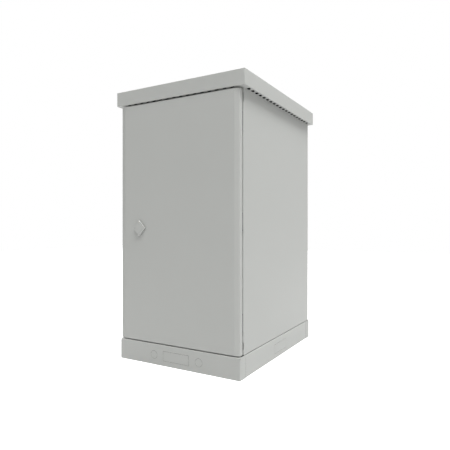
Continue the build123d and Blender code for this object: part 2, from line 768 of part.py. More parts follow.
with BuildPart() as door_panel:
    with BuildSketch(Plane.XY.offset(door_bottom_z)):
        add(door_section.sketch)
    extrude(amount=door_height)
    upright = door_panel.edges().filter_by(Axis.Z)
    creases = upright.filter_by(lambda edge: abs(edge.center().X) < side_x - bevel_width / 2)
    fillet(door_panel.edges() - creases, fold_radius)
    add(door_cavity.part, mode=Mode.SUBTRACT)
    with BuildSketch(Plane.XZ.offset(-door_rear_y)):
        with Locations((0, door_middle_z)):
            Rectangle(2 * (side_x - door_lip), door_height - 2 * door_lip)
    extrude(amount=door_sheet, mode=Mode.SUBTRACT)
    with BuildSketch(Plane.XZ.offset(-door_front_y)):
        with Locations((lock_x, lock_z)):
            Circle(barrel_radius + slack)
    extrude(amount=-door_sheet, mode=Mode.SUBTRACT)
finish(door_panel.part, "door_panel")

# Door stiffeners, hat sections across the inner face
stiffener_half = frame_x + body_sheet / 2 - seal_width / 2 - stiffener_end_gap
foot_y = door_inner_y + door_sheet / 2
for step, name in ((-1, "lower"), (1, "upper")):
    middle_z = door_middle_z + step * (door_height / 2 - stiffener_from_end)
    low_z = middle_z - stiffener_height / 2
    high_z = middle_z + stiffener_height / 2
    with BuildPart() as stiffener:
        with BuildSketch(Plane.YZ):
            add(folded(
                [
                    (foot_y, low_z - stiffener_lip),
                    (foot_y, low_z),
                    (foot_y + stiffener_depth, low_z),
                    (foot_y + stiffener_depth, high_z),
                    (foot_y, high_z),
                    (foot_y, high_z + stiffener_lip),
                ],
                door_sheet, fold_radius))
        extrude(amount=stiffener_half, both=True)
    finish(stiffener.part, f"{name}_door_stiffener")

# Door seal, a ring that meets the lip around the opening
seal_depth = frame_y - seal_lip - seal_clearance - door_inner_y
with BuildPart() as door_seal:
    with BuildSketch(Plane.XZ.offset(-door_inner_y)):
        with Locations((0, door_middle_z)):
            Rectangle(2 * frame_x + body_sheet + seal_width, opening_height + body_sheet + seal_width)
            Rectangle(
                2 * frame_x + body_sheet - seal_width,
                opening_height + body_sheet - seal_width,
                mode=Mode.SUBTRACT)
    extrude(amount=-seal_depth)
finish(door_seal.part, "door_seal")

# Hinges: a leaf on the door's lip, a cranked leaf through the frame's cut-out, and a pin
knuckle_height = (hinge_height - 2 * knuckle_gap) / 3
leaf_end_x = hinge_x - knuckle_radius - knuckle_gap
cut_inner_x = side_x - hinge_cut_edge - hinge_cut_width
for name, hinge_z in zip(hinge_names, hinge_zs):
    hinge_low_z = hinge_z - hinge_height / 2
    hinge_high_z = hinge_z + hinge_height / 2
    with BuildPart() as door_leaf:
        with BuildSketch(Plane.XY.offset(hinge_low_z)):
            with Locations((leaf_end_x - leaf_width / 2, door_rear_y + leaf_sheet / 2)):
                Rectangle(leaf_width, leaf_sheet)
        extrude(amount=hinge_height)
        with BuildSketch(Plane.XY.offset(hinge_z - knuckle_height / 2)):
            with Locations(((leaf_end_x + hinge_x) / 2, door_rear_y + leaf_sheet / 2)):
                Rectangle(hinge_x - leaf_end_x, leaf_sheet)
            with Locations((hinge_x, hinge_y)):
                Circle(knuckle_radius)
                Circle(pin_radius + pin_play, mode=Mode.SUBTRACT)
        extrude(amount=knuckle_height)
    finish(door_leaf.part, f"{name}_hinge_door_leaf")

    with BuildPart() as body_leaf:
        with BuildSketch(Plane.XY.offset(hinge_low_z)):
            with Locations(((cut_inner_x + frame_x) / 2, frame_inner_y + leaf_sheet / 2)):
                Rectangle(cut_inner_x - frame_x, leaf_sheet)
        extrude(amount=hinge_height)
        for knuckle_z in (hinge_low_z, hinge_high_z - knuckle_height):
            with BuildSketch(Plane.XY.offset(knuckle_z)):
                add(folded(
                    [
                        (cut_inner_x - leaf_sheet, frame_inner_y + leaf_sheet / 2),
                        (cut_inner_x + leaf_sheet, frame_inner_y + leaf_sheet / 2),
                        (hinge_x, hinge_y),
                    ],
                    leaf_sheet, leaf_sheet))
                with Locations((hinge_x, hinge_y)):
                    Circle(knuckle_radius)
                    Circle(pin_radius + pin_play, mode=Mode.SUBTRACT)
            extrude(amount=knuckle_height)
    finish(body_leaf.part, f"{name}_hinge_body_leaf")

    with BuildPart() as hinge_pin:
        with BuildSketch(Plane.XY.offset(hinge_low_z)):
            with Locations((hinge_x, hinge_y)):
                Circle(pin_radius)
        extrude(amount=hinge_height)
        with BuildSketch(Plane.XY.offset(hinge_high_z)):
            with Locations((hinge_x, hinge_y)):
                Circle(knuckle_radius - pin_play)
        extrude(amount=pin_head)
    finish(hinge_pin.part, f"{name}_hinge_pin")

# Lock housing: a diamond flange on the door, a barrel through it, and its nut inside
with BuildPart() as lock_housing:
    with BuildSketch(Plane.XZ.offset(-door_front_y)):
        with Locations((lock_x, lock_z)):
            add(rhombus(cover_width - 2 * cover_reveal, cover_height - 2 * cover_reveal, cover_corner))
    extrude(amount=flange_thickness)
    with BuildSketch(Plane.XZ.offset(-door_front_y)):
        with Locations((lock_x, lock_z)):
            Circle(barrel_radius)
    extrude(amount=-barrel_length)
    with BuildSketch(Plane.XZ.offset(flange_thickness - door_front_y)):
        with Locations((lock_x, lock_z)):
            Circle(insert_radius + insert_play)
    extrude(amount=-(flange_thickness + barrel_length), mode=Mode.SUBTRACT)
    with BuildSketch(Plane.XZ.offset(flange_thickness - door_front_y)):
        with Locations((lock_x, lock_z + rivet_rise)):
            Circle(rivet_radius)
    extrude(amount=-flange_thickness, mode=Mode.SUBTRACT)
finish(lock_housing.part, "lock_housing")

with BuildPart() as lock_nut:
    with BuildSketch(Plane.XZ.offset(-door_inner_y)):
        with Locations((lock_x, lock_z)):
            RegularPolygon(lock_nut_width / 2, 6, major_radius=False)
            Circle(barrel_radius + insert_play, mode=Mode.SUBTRACT)
    extrude(amount=-lock_nut_height)
finish(lock_nut.part, "lock_nut")

# Lock insert with its key socket in front and a square tail behind
insert_front_y = door_front_y - flange_thickness + slack
insert_rear_y = door_front_y + barrel_length + slack
with BuildPart() as lock_insert:
    with BuildSketch(Plane.XZ.offset(-insert_front_y)):
        with Locations((lock_x, lock_z)):
            Circle(insert_radius)
    extrude(amount=insert_front_y - insert_rear_y)
    with BuildSketch(Plane.XZ.offset(-insert_rear_y)):
        with Locations((lock_x, lock_z)):
            Rectangle(lock_square, lock_square)
    extrude(amount=insert_rear_y - cam_rear_y)
    with BuildSketch(Plane.XZ.offset(-insert_front_y)):
        with Locations((lock_x, lock_z)):
            Circle(key_bore_radius)
            Rectangle(2 * (key_bore_radius + key_bit), key_bit)
            Circle(key_pin_radius, mode=Mode.SUBTRACT)
    extrude(amount=-key_depth, mode=Mode.SUBTRACT)
finish(lock_insert.part, "lock_insert")

# Cam with the two pins that drive the rods
cam_radius = cam_pin_reach + rod_pin_radius + cam_rim
with BuildPart() as lock_cam:
    with BuildSketch(Plane.XZ.offset(-cam_front_y)):
        with Locations((lock_x, lock_z)):
            Circle(cam_radius)
            Rectangle(lock_square, lock_square, mode=Mode.SUBTRACT)
    extrude(amount=-cam_sheet)
    with BuildSketch(Plane.XZ.offset(-cam_rear_y)):
        with Locations(
                (lock_x + cam_pin_near, lock_z - rod_stroke / 2),
                (lock_x - cam_pin_near, lock_z + rod_stroke / 2)):
            Circle(rod_pin_radius)
    extrude(amount=-(cam_rod_gap + rod_sheet + cam_rod_gap))
finish(lock_cam.part, "lock_cam")

# Protective cover that hangs on a rivet in front of the flange
cover_back_y = door_front_y - flange_thickness - cover_gap
with BuildPart() as lock_cover:
    with BuildSketch(Plane.XZ.offset(-cover_back_y)):
        with Locations((lock_x, lock_z)):
            add(rhombus(cover_width, cover_height, cover_corner))
    extrude(amount=cover_rim)
    chamfer(lock_cover.faces().sort_by(Axis.Y)[0].edges(), cover_sheet / 2)
    with BuildSketch(Plane.XZ.offset(-cover_back_y)):
        with Locations((lock_x, lock_z)):
            add(rhombus(cover_width - 2 * cover_sheet, cover_height - 2 * cover_sheet, cover_corner - cover_sheet))
        with Locations((lock_x, lock_z + rivet_rise)):
            Circle(rivet_head, mode=Mode.SUBTRACT)
    extrude(amount=cover_rim - cover_sheet, mode=Mode.SUBTRACT)
    with BuildSketch(Plane.XZ.offset(cover_rim - cover_back_y)):
        with Locations((lock_x, lock_z + rivet_rise)):
            Circle(rivet_radius + insert_play)
        with Locations((lock_x - cover_width / 2 + sealing_hole_inset, lock_z)):
            Circle(sealing_hole_radius)
    extrude(amount=-cover_rim, mode=Mode.SUBTRACT)
finish(lock_cover.part, "lock_cover")

cover_front_y = cover_back_y - cover_rim
with BuildPart() as cover_rivet:
    with BuildSketch(Plane.XZ.offset(-door_front_y)):
        with Locations((lock_x, lock_z + rivet_rise)):
            Circle(rivet_radius)
    extrude(amount=door_front_y - cover_front_y + insert_play)
    with BuildSketch(Plane.XZ.offset(insert_play - cover_front_y)):
        with Locations((lock_x, lock_z + rivet_rise)):
            Circle(rivet_head)
    extrude(amount=rivet_head_height, taper=25)
finish(cover_rivet.part, "cover_rivet")

# Lock rods, flat bars with a cross slot for the cam pin, and their guides on the door
rod_slot_near = cam_pin_near - rod_pin_radius - rod_pin_play
rod_slot_far = cam_pin_reach + rod_pin_radius + rod_pin_play
guide_half = rod_width / 2 + guide_wall
leg_x = guide_half + guide_sheet / 2
for rise, name, tip_z in (
        (1, "upper", opening_top_z - rod_tip_gap),
        (-1, "lower", opening_bottom_z + rod_tip_gap)):
    rod_x = lock_x + rise * rod_spacing / 2
    slot_z = lock_z - rise * rod_stroke / 2
    tail_z = slot_z - rise * rod_end
    guide_z = tip_z - rise * guide_inset
    with BuildPart() as lock_rod:
        with BuildSketch(Plane.XZ.offset(-rod_front_y)):
            with Locations((rod_x, (tail_z + tip_z) / 2)):
                Rectangle(rod_width, abs(tip_z - tail_z))
            with Locations((lock_x + rise * (rod_slot_near + rod_slot_far) / 2, slot_z)):
                Rectangle(rod_slot_far - rod_slot_near, 2 * (rod_pin_radius + rod_pin_play), mode=Mode.SUBTRACT)
        extrude(amount=-rod_sheet)
        tip = lock_rod.edges().filter_by(Axis.Y).group_by(Axis.Z)[-1 if rise > 0 else 0]
        chamfer(tip, rod_width / 4)
    finish(lock_rod.part, f"{name}_lock_rod")

    with BuildPart() as rod_bracket:
        with BuildSketch(Plane.XY.offset(guide_z - guide_height / 2)):
            with Locations((rod_x, 0)):
                add(folded(
                    [
                        (-leg_x - guide_foot, door_inner_y + guide_sheet / 2),
                        (-leg_x, door_inner_y + guide_sheet / 2),
                        (-leg_x, rod_rear_y + guide_wall + guide_sheet / 2),
                        (leg_x, rod_rear_y + guide_wall + guide_sheet / 2),
                        (leg_x, door_inner_y + guide_sheet / 2),
                        (leg_x + guide_foot, door_inner_y + guide_sheet / 2),
                    ],
                    guide_sheet, fold_radius))
        extrude(amount=guide_height)
    finish(rod_bracket.part, f"{name}_rod_bracket")

    with BuildPart() as rod_slider:
        with BuildSketch(Plane.XY.offset(guide_z - guide_height / 2)):
            with Locations((rod_x, (rod_front_y + rod_rear_y) / 2)):
                RectangleRounded(2 * guide_half, rod_sheet + 2 * guide_wall, guide_wall / 2)
                Rectangle(rod_width + 2 * guide_play, rod_sheet + 2 * guide_play, mode=Mode.SUBTRACT)
        extrude(amount=guide_height)
    finish(rod_slider.part, f"{name}_rod_slider")
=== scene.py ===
import json
import math

import bpy
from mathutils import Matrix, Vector

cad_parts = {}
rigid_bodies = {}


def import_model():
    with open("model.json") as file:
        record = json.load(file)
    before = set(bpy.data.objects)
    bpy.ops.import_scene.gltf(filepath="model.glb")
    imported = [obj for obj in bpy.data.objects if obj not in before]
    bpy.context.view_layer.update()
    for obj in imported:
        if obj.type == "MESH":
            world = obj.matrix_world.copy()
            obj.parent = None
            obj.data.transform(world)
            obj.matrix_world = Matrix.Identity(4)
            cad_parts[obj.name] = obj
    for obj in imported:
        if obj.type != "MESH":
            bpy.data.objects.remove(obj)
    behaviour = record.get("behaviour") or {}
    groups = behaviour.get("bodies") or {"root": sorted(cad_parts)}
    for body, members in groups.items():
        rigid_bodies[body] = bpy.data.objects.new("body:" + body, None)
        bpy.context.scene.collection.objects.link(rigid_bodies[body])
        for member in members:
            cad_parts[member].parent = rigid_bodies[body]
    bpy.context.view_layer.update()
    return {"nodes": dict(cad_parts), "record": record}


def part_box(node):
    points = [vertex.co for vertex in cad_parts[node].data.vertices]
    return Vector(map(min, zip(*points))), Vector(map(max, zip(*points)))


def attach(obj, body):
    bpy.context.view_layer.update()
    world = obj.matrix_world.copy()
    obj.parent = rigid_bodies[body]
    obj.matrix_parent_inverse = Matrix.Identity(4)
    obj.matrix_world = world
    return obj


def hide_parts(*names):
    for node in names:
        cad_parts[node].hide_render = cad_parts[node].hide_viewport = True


for leftover in list(bpy.data.objects):  # the start file's own cube, lamp and camera
    bpy.data.objects.remove(leftover, do_unlink=True)

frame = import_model()
nodes = frame["nodes"]
scene = bpy.context.scene
print("frame loaded with", len(nodes), "CAD nodes")


# helpers for node trees, of shaders and of layouts alike

def newTree(name, kind, inputs, outputs):
    tree = bpy.data.node_groups.new(name, kind)
    for label, socketKind, value in inputs:
        socket = tree.interface.new_socket(name=label, in_out="INPUT", socket_type=socketKind)
        if value is not None:
            socket.default_value = value
    for label, socketKind in outputs:
        tree.interface.new_socket(name=label, in_out="OUTPUT", socket_type=socketKind)
    return tree, tree.nodes.new("NodeGroupInput"), tree.nodes.new("NodeGroupOutput")


def wire(tree, node, links):
    # each input gets either a link from another node's socket or a plain value
    for label, source in links.items():
        if isinstance(source, bpy.types.NodeSocket):
            tree.links.new(source, node.inputs[label])
        else:
            node.inputs[label].default_value = source
    return node


def addMath(tree, operation, first, second):
    node = tree.nodes.new("ShaderNodeMath")
    node.operation = operation
    return wire(tree, node, {0: first, 1: second}).outputs[0]


def addNoise(tree, vector, scale, detail):
    noise = wire(tree, tree.nodes.new("ShaderNodeTexNoise"), {"Vector": vector, "Scale": scale, "Detail": detail})
    return noise.outputs["Fac"]


def addRange(tree, value, low, high, fromLow=0.3, fromHigh=0.7):
    # a noise rarely leaves the stretch from 0.3 to 0.7, so that is what counts unless told otherwise
    node = wire(tree, tree.nodes.new("ShaderNodeMapRange"), {
        "Value": value, "From Min": fromLow, "From Max": fromHigh, "To Min": low, "To Max": high})
    return node.outputs["Result"]


# orange peel of a sprayed coat: fine pebbling, and a slow drift in thickness
orangePeel = {"peelDetail": 2.0, "pebbleScale": 3.1, "pebbleDetail": 1.0, "pebbleShare": 0.35, "driftDetail": 3.0}
coatGrain, given, outside = newTree(
    "coatGrain", "ShaderNodeTree",
    [("Vector", "NodeSocketVector", None), ("Peel Scale", "NodeSocketFloat", 420.0),
     ("Drift Scale", "NodeSocketFloat", 6.0)],
    [("Height", "NodeSocketFloat"), ("Drift", "NodeSocketFloat")])
surface = given.outputs["Vector"]
peel = addNoise(coatGrain, surface, given.outputs["Peel Scale"], orangePeel["peelDetail"])
pebbleScale = addMath(coatGrain, "MULTIPLY", given.outputs["Peel Scale"], orangePeel["pebbleScale"])
pebble = addNoise(coatGrain, surface, pebbleScale, orangePeel["pebbleDetail"])
pebbling = addMath(coatGrain, "MULTIPLY", pebble, orangePeel["pebbleShare"])
wire(coatGrain, outside, {
    "Height": addMath(coatGrain, "ADD", peel, pebbling),
    "Drift": addNoise(coatGrain, surface, given.outputs["Drift Scale"], orangePeel["driftDetail"])})

# crystals of a plated steel sheet, with fine lines from the rolling mill
millLines = {"stretch": (1.0, 1.0, 0.04), "detail": 2.0}
platedGrain, given, outside = newTree(
    "platedGrain", "ShaderNodeTree",
    [("Vector", "NodeSocketVector", None), ("Crystal Scale", "NodeSocketFloat", 90.0),
     ("Line Scale", "NodeSocketFloat", 700.0)],
    [("Crystal", "NodeSocketFloat"), ("Lines", "NodeSocketFloat")])
surface = given.outputs["Vector"]
crystals = wire(platedGrain, platedGrain.nodes.new("ShaderNodeTexVoronoi"), {
    "Vector": surface, "Scale": given.outputs["Crystal Scale"]})
crystalTone = wire(platedGrain, platedGrain.nodes.new("ShaderNodeSeparateColor"), {
    "Color": crystals.outputs["Color"]})
stretched = wire(platedGrain, platedGrain.nodes.new("ShaderNodeMapping"), {
    "Vector": surface, "Scale": millLines["stretch"]})
wire(platedGrain, outside, {
    "Crystal": crystalTone.outputs["Red"],
    "Lines": addNoise(platedGrain, stretched.outputs["Vector"], given.outputs["Line Scale"], millLines["detail"])})
print("shader groups built")


# finishes, one for each material slot of the record; roughness is given for the two ends of the grain

def newFinish(name, settings):
    material = bpy.data.materials.new(name)
    material.use_nodes = True
    tree = material.node_tree
    return material, tree, wire(tree, tree.nodes["Principled BSDF"], settings)


def placeGroup(tree, group, values):
    node = tree.nodes.new("ShaderNodeGroup")
    node.node_tree = group
    where = tree.nodes.new("ShaderNodeTexCoord")
    return wire(tree, node, dict(values, Vector=where.outputs["Object"]))


def tintBy(tree, shader, factor, dark, light):
    mix = tree.nodes.new("ShaderNodeMix")
    mix.data_type = "RGBA"
    wire(tree, mix, {"Factor": factor, "A": (*dark, 1.0), "B": (*light, 1.0)})
    tree.links.new(mix.outputs["Result"], shader.inputs["Base Color"])


def bumpBy(tree, shader, height, strength, distance):
    bump = wire(tree, tree.nodes.new("ShaderNodeBump"), {
        "Height": height, "Strength": strength, "Distance": distance})
    tree.links.new(bump.outputs["Normal"], shader.inputs["Normal"])


def makeCoat(name, coat):
    material, tree, shader = newFinish(name, {"Metallic": 0.0, "IOR": 1.45})
    grain = placeGroup(tree, coatGrain, {"Peel Scale": coat["peelScale"], "Drift Scale": coat["driftScale"]})
    tintBy(tree, shader, addRange(tree, grain.outputs["Drift"], 0.0, 1.0), coat["dark"], coat["light"])
    tree.links.new(addRange(tree, grain.outputs["Drift"], *coat["roughness"]), shader.inputs["Roughness"])
    bumpBy(tree, shader, grain.outputs["Height"], coat["peelStrength"], coat["peelDepth"])
    return material


powderCoat = {
    "dark": (0.517, 0.527, 0.507), "light": (0.523, 0.533, 0.513), "roughness": (0.47, 0.53),
    "peelScale": 420.0, "driftScale": 6.0, "peelStrength": 0.12, "peelDepth": 0.0002,
}
fittingPaint = {
    "dark": (0.512, 0.522, 0.502), "light": (0.528, 0.538, 0.518), "roughness": (0.52, 0.58),
    "peelScale": 700.0, "driftScale": 25.0, "peelStrength": 0.06, "peelDepth": 0.0001,
}
hingeSteel = {
    "dark": (0.14, 0.14, 0.142), "light": (0.17, 0.17, 0.173), "roughness": (0.42, 0.48),
    "peelScale": 900.0, "driftScale": 30.0, "peelStrength": 0.06, "peelDepth": 0.0001,
}


def makePlating(name, plate):
    material, tree, shader = newFinish(name, {"Metallic": 1.0})
    grain = placeGroup(tree, platedGrain, {
        "Crystal Scale": plate["crystalScale"], "Line Scale": plate["lineScale"]})
    tintBy(tree, shader, grain.outputs["Crystal"], plate["dark"], plate["light"])
    tree.links.new(addRange(tree, grain.outputs["Lines"], *plate["roughness"]), shader.inputs["Roughness"])
    bumpBy(tree, shader, grain.outputs["Lines"], plate["lineStrength"], plate["lineDepth"])
    return material


zincPlate = {
    "dark": (0.58, 0.60, 0.62), "light": (0.66, 0.68, 0.70), "roughness": (0.32, 0.44),
    "crystalScale": 90.0, "lineScale": 700.0, "lineStrength": 0.08, "lineDepth": 0.0001,
}
turnedSteel = {
    "dark": (0.50, 0.49, 0.46), "light": (0.55, 0.54, 0.51), "roughness": (0.28, 0.40),
    "crystalScale": 800.0, "lineScale": 1500.0, "lineStrength": 0.05, "lineDepth": 0.00005,
}


def makeMatt(name, matt):
    material, tree, shader = newFinish(name, {"Metallic": 0.0, "IOR": matt["ior"]})
    grain = placeGroup(tree, coatGrain, {"Peel Scale": matt["poreScale"], "Drift Scale": matt["driftScale"]})
    tintBy(tree, shader, addRange(tree, grain.outputs["Drift"], 0.0, 1.0), matt["dark"], matt["light"])
    tree.links.new(
        addRange(tree, grain.outputs["Height"], *matt["roughness"], *matt["poreRange"]),
        shader.inputs["Roughness"])
    bumpBy(tree, shader, grain.outputs["Height"], matt["poreStrength"], matt["poreDepth"])
    return material


# near-black foam of the seals; the same colour is laid as painted shade in the vent slots, the plinth joints and
# the knockout grooves
sealFoamAndShade = {
    "dark": (0.018, 0.018, 0.019), "light": (0.026, 0.026, 0.028), "roughness": (0.95, 0.85), "ior": 1.1,
    "poreScale": 900.0, "driftScale": 30.0, "poreStrength": 0.35, "poreDepth": 0.0003, "poreRange": (0.5, 0.9),
}
# dark plastic of the sliders; the same colour is laid in the lock cover's sealing hole as painted shade
sliderPlasticAndShade = {
    "dark": (0.046, 0.046, 0.05), "light": (0.056, 0.056, 0.061), "roughness": (0.47, 0.37), "ior": 1.5,
    "poreScale": 1400.0, "driftScale": 40.0, "poreStrength": 0.08, "poreDepth": 0.0001, "poreRange": (0.5, 0.9),
}

finishes = {
    "powder_coat": makeCoat("powderCoat", powderCoat),
    "painted_fittings": makeCoat("fittingPaint", fittingPaint),
    "zinc_steel": makePlating("zincPlate", zincPlate),
    "dark_steel": makeCoat("hingeSteel", hingeSteel),
    "bright_steel": makePlating("turnedSteel", turnedSteel),
    "rubber": makeMatt("sealFoamAndShade", sealFoamAndShade),
    "slider_plastic": makeMatt("sliderPlasticAndShade", sliderPlasticAndShade),
}
slotOfNode = {part["node"]: part["material_slot"] for part in frame["record"]["subparts"]}
for nodeName, node in nodes.items():
    node.data.materials.clear()
    node.data.materials.append(finishes[slotOfNode[nodeName]])

# the lock cover's own coat: painted shade darkens the upper half of its rim, damping the highlight the key light
# puts on that edge
rimShade = {"start": 0.0001, "full": 0.0005, "blend": 0.004, "tone": 0.72}
coverPaint = makeCoat("coverPaint", fittingPaint)
coverTree = coverPaint.node_tree
coverTint = coverTree.nodes["Principled BSDF"].inputs["Base Color"]
low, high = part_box("lock_cover")
middleZ = (low.z + high.z) / 2
where = coverTree.nodes.new("ShaderNodeTexCoord")
axes = wire(coverTree, coverTree.nodes.new("ShaderNodeSeparateXYZ"), {"Vector": where.outputs["Object"]})
onRim = addRange(coverTree, axes.outputs["Y"], 0.0, 1.0, low.y + rimShade["start"], low.y + rimShade["full"])
onTop = addRange(coverTree, axes.outputs["Z"], 0.0, 1.0, middleZ - rimShade["blend"], middleZ + rimShade["blend"])
# painted shade: the front rim's upper half is darkened to the given tone
paintedRimShade = addRange(coverTree, addMath(coverTree, "MULTIPLY", onRim, onTop), 1.0, rimShade["tone"], 0.0, 1.0)
rimShaded = wire(coverTree, coverTree.nodes.new("ShaderNodeHueSaturation"), {
    "Color": coverTint.links[0].from_socket, "Value": paintedRimShade})
coverTree.links.new(rimShaded.outputs["Color"], coverTint)
nodes["lock_cover"].data.materials[0] = coverPaint
print("finishes on", len(nodes), "nodes")


# layouts, which Geometry Nodes build on the points or the loops of a piece

def newLayout(name, inputs):
    return newTree(
        name, "GeometryNodeTree",
        [("Geometry", "NodeSocketGeometry", None), *inputs, ("Material", "NodeSocketMaterial", None)],
        [("Geometry", "NodeSocketGeometry")])


def closeLayout(tree, geometry, given, outside):
    loose = wire(tree, tree.nodes.new("GeometryNodeRealizeInstances"), {"Geometry": geometry})
    coated = wire(tree, tree.nodes.new("GeometryNodeSetMaterial"), {
        "Geometry": loose.outputs[0], "Material": given.outputs["Material"]})
    tree.links.new(coated.outputs[0], outside.inputs["Geometry"])
    return tree


def liftBy(tree, geometry, height):
    shift = wire(tree, tree.nodes.new("ShaderNodeCombineXYZ"), {"Z": height})
    lifted = wire(tree, tree.nodes.new("GeometryNodeTransform"), {
        "Geometry": geometry, "Translation": shift.outputs[0]})
    return lifted.outputs[0]


def turnToFacing(tree):
    # from Z to the direction that each point carries as its facing
    facing = tree.nodes.new("GeometryNodeInputNamedAttribute")
    facing.data_type = "FLOAT_VECTOR"
    facing.inputs["Name"].default_value = "facing"
    align = wire(tree, tree.nodes.new("FunctionNodeAlignRotationToVector"), {
        "Vector": facing.outputs["Attribute"]})
    return align.outputs[0]


# each part of a screw head is a cone, with its sizes as shares of the head's radius and height
screwShape = {
    "sides": 20, "socketSides": 6,
    "flange": {"bottom": 1.0, "top": 1.0, "depth": 0.22, "lift": 0.0},
    "drum": {"bottom": 0.86, "top": 0.8, "depth": 0.48, "lift": 0.2},
    "dome": {"bottom": 0.8, "top": 0.5, "depth": 0.32, "lift": 0.68},
}


def buildScrewLayout():
    # a flanged button head with a six-sided socket on every point, turned at random about its facing
    tree, given, outside = newLayout("screwHeads", [
        ("Head Radius", "NodeSocketFloat", 0.005), ("Head Height", "NodeSocketFloat", 0.0024),
        ("Socket Radius", "NodeSocketFloat", 0.002), ("Seed", "NodeSocketInt", 3)])
    radius, height = given.outputs["Head Radius"], given.outputs["Head Height"]
    join = tree.nodes.new("GeometryNodeJoinGeometry")
    for layer in (screwShape["flange"], screwShape["drum"], screwShape["dome"]):
        cone = wire(tree, tree.nodes.new("GeometryNodeMeshCone"), {
            "Vertices": screwShape["sides"],
            "Radius Top": addMath(tree, "MULTIPLY", radius, layer["top"]),
            "Radius Bottom": addMath(tree, "MULTIPLY", radius, layer["bottom"]),
            "Depth": addMath(tree, "MULTIPLY", height, layer["depth"])})
        lift = addMath(tree, "MULTIPLY", height, layer["lift"])
        tree.links.new(liftBy(tree, cone.outputs["Mesh"], lift), join.inputs[0])
    socketHole = wire(tree, tree.nodes.new("GeometryNodeMeshCylinder"), {
        "Vertices": screwShape["socketSides"], "Radius": given.outputs["Socket Radius"], "Depth": height})
    cut = tree.nodes.new("GeometryNodeMeshBoolean")
    cut.operation = "DIFFERENCE"
    wire(tree, cut, {"Mesh 1": join.outputs[0], "Mesh 2": liftBy(tree, socketHole.outputs["Mesh"], height)})

    angle = tree.nodes.new("FunctionNodeRandomValue")
    angle.data_type = "FLOAT"
    floatMax, floatValue = 3, 1  # sockets by place, as the vector ones have the same names
    wire(tree, angle, {floatMax: 2 * math.pi, "Seed": given.outputs["Seed"]})
    spin = wire(tree, tree.nodes.new("ShaderNodeCombineXYZ"), {"Z": angle.outputs[floatValue]})
    spinTurn = wire(tree, tree.nodes.new("FunctionNodeEulerToRotation"), {0: spin.outputs[0]})
    turned = tree.nodes.new("FunctionNodeRotateRotation")
    turned.rotation_space = "LOCAL"
    wire(tree, turned, {0: turnToFacing(tree), 1: spinTurn.outputs[0]})
    placed = wire(tree, tree.nodes.new("GeometryNodeInstanceOnPoints"), {
        "Points": given.outputs["Geometry"], "Instance": cut.outputs[0], "Rotation": turned.outputs[0]})
    return closeLayout(tree, placed.outputs[0], given, outside)


weldShape = {"sides": 16, "topShare": 0.72}


def buildWeldLayout():
    # a low round mark on every point, sloping at its edge
    tree, given, outside = newLayout("spotWelds", [
        ("Mark Radius", "NodeSocketFloat", 0.003), ("Mark Height", "NodeSocketFloat", 0.0003)])
    mark = wire(tree, tree.nodes.new("GeometryNodeMeshCone"), {
        "Vertices": weldShape["sides"],
        "Radius Top": addMath(tree, "MULTIPLY", given.outputs["Mark Radius"], weldShape["topShare"]),
        "Radius Bottom": given.outputs["Mark Radius"], "Depth": given.outputs["Mark Height"]})
    placed = wire(tree, tree.nodes.new("GeometryNodeInstanceOnPoints"), {
        "Points": given.outputs["Geometry"], "Instance": mark.outputs["Mesh"], "Rotation": turnToFacing(tree)})
    return closeLayout(tree, placed.outputs[0], given, outside)


beadShape = {"cornerSteps": 6, "roundSteps": 4}


def buildSealLayout():
    # a rounded bead along the loops that the piece's own edges draw
    tree, given, outside = newLayout("sealBead", [
        ("Bead Width", "NodeSocketFloat", 0.012), ("Bead Height", "NodeSocketFloat", 0.012),
        ("Bead Round", "NodeSocketFloat", 0.0035), ("Corner Radius", "NodeSocketFloat", 0.012)])

    def rounded(curve, steps, radius):
        fillet = tree.nodes.new("GeometryNodeFilletCurve")
        fillet.mode = "POLY"
        return wire(tree, fillet, {"Curve": curve, "Count": steps, "Radius": radius}).outputs[0]

    loops = wire(tree, tree.nodes.new("GeometryNodeMeshToCurve"), {"Mesh": given.outputs["Geometry"]})
    section = wire(tree, tree.nodes.new("GeometryNodeCurvePrimitiveQuadrilateral"), {
        "Width": given.outputs["Bead Height"], "Height": given.outputs["Bead Width"]})
    swept = wire(tree, tree.nodes.new("GeometryNodeCurveToMesh"), {
        "Curve": rounded(loops.outputs[0], beadShape["cornerSteps"], given.outputs["Corner Radius"]),
        "Profile Curve": rounded(section.outputs[0], beadShape["roundSteps"], given.outputs["Bead Round"])})
    return closeLayout(tree, swept.outputs[0], given, outside)


padShape = {"segments": 20, "rings": 10}


def buildPadLayout():
    # a soft pillow on every point
    tree, given, outside = newLayout("foamPads", [("Half Size", "NodeSocketVector", (0.006, 0.009, 0.002))])
    pillow = wire(tree, tree.nodes.new("GeometryNodeMeshUVSphere"), {
        "Segments": padShape["segments"], "Rings": padShape["rings"], "Radius": 1.0})
    squeezed = wire(tree, tree.nodes.new("GeometryNodeTransform"), {
        "Geometry": pillow.outputs["Mesh"], "Scale": given.outputs["Half Size"]})
    smooth = wire(tree, tree.nodes.new("GeometryNodeSetShadeSmooth"), {"Geometry": squeezed.outputs[0]})
    placed = wire(tree, tree.nodes.new("GeometryNodeInstanceOnPoints"), {
        "Points": given.outputs["Geometry"], "Instance": smooth.outputs[0]})
    return closeLayout(tree, placed.outputs[0], given, outside)


screwLayout = buildScrewLayout()
weldLayout = buildWeldLayout()
sealLayout = buildSealLayout()
padLayout = buildPadLayout()
print("layouts built")


# pieces that the layouts make

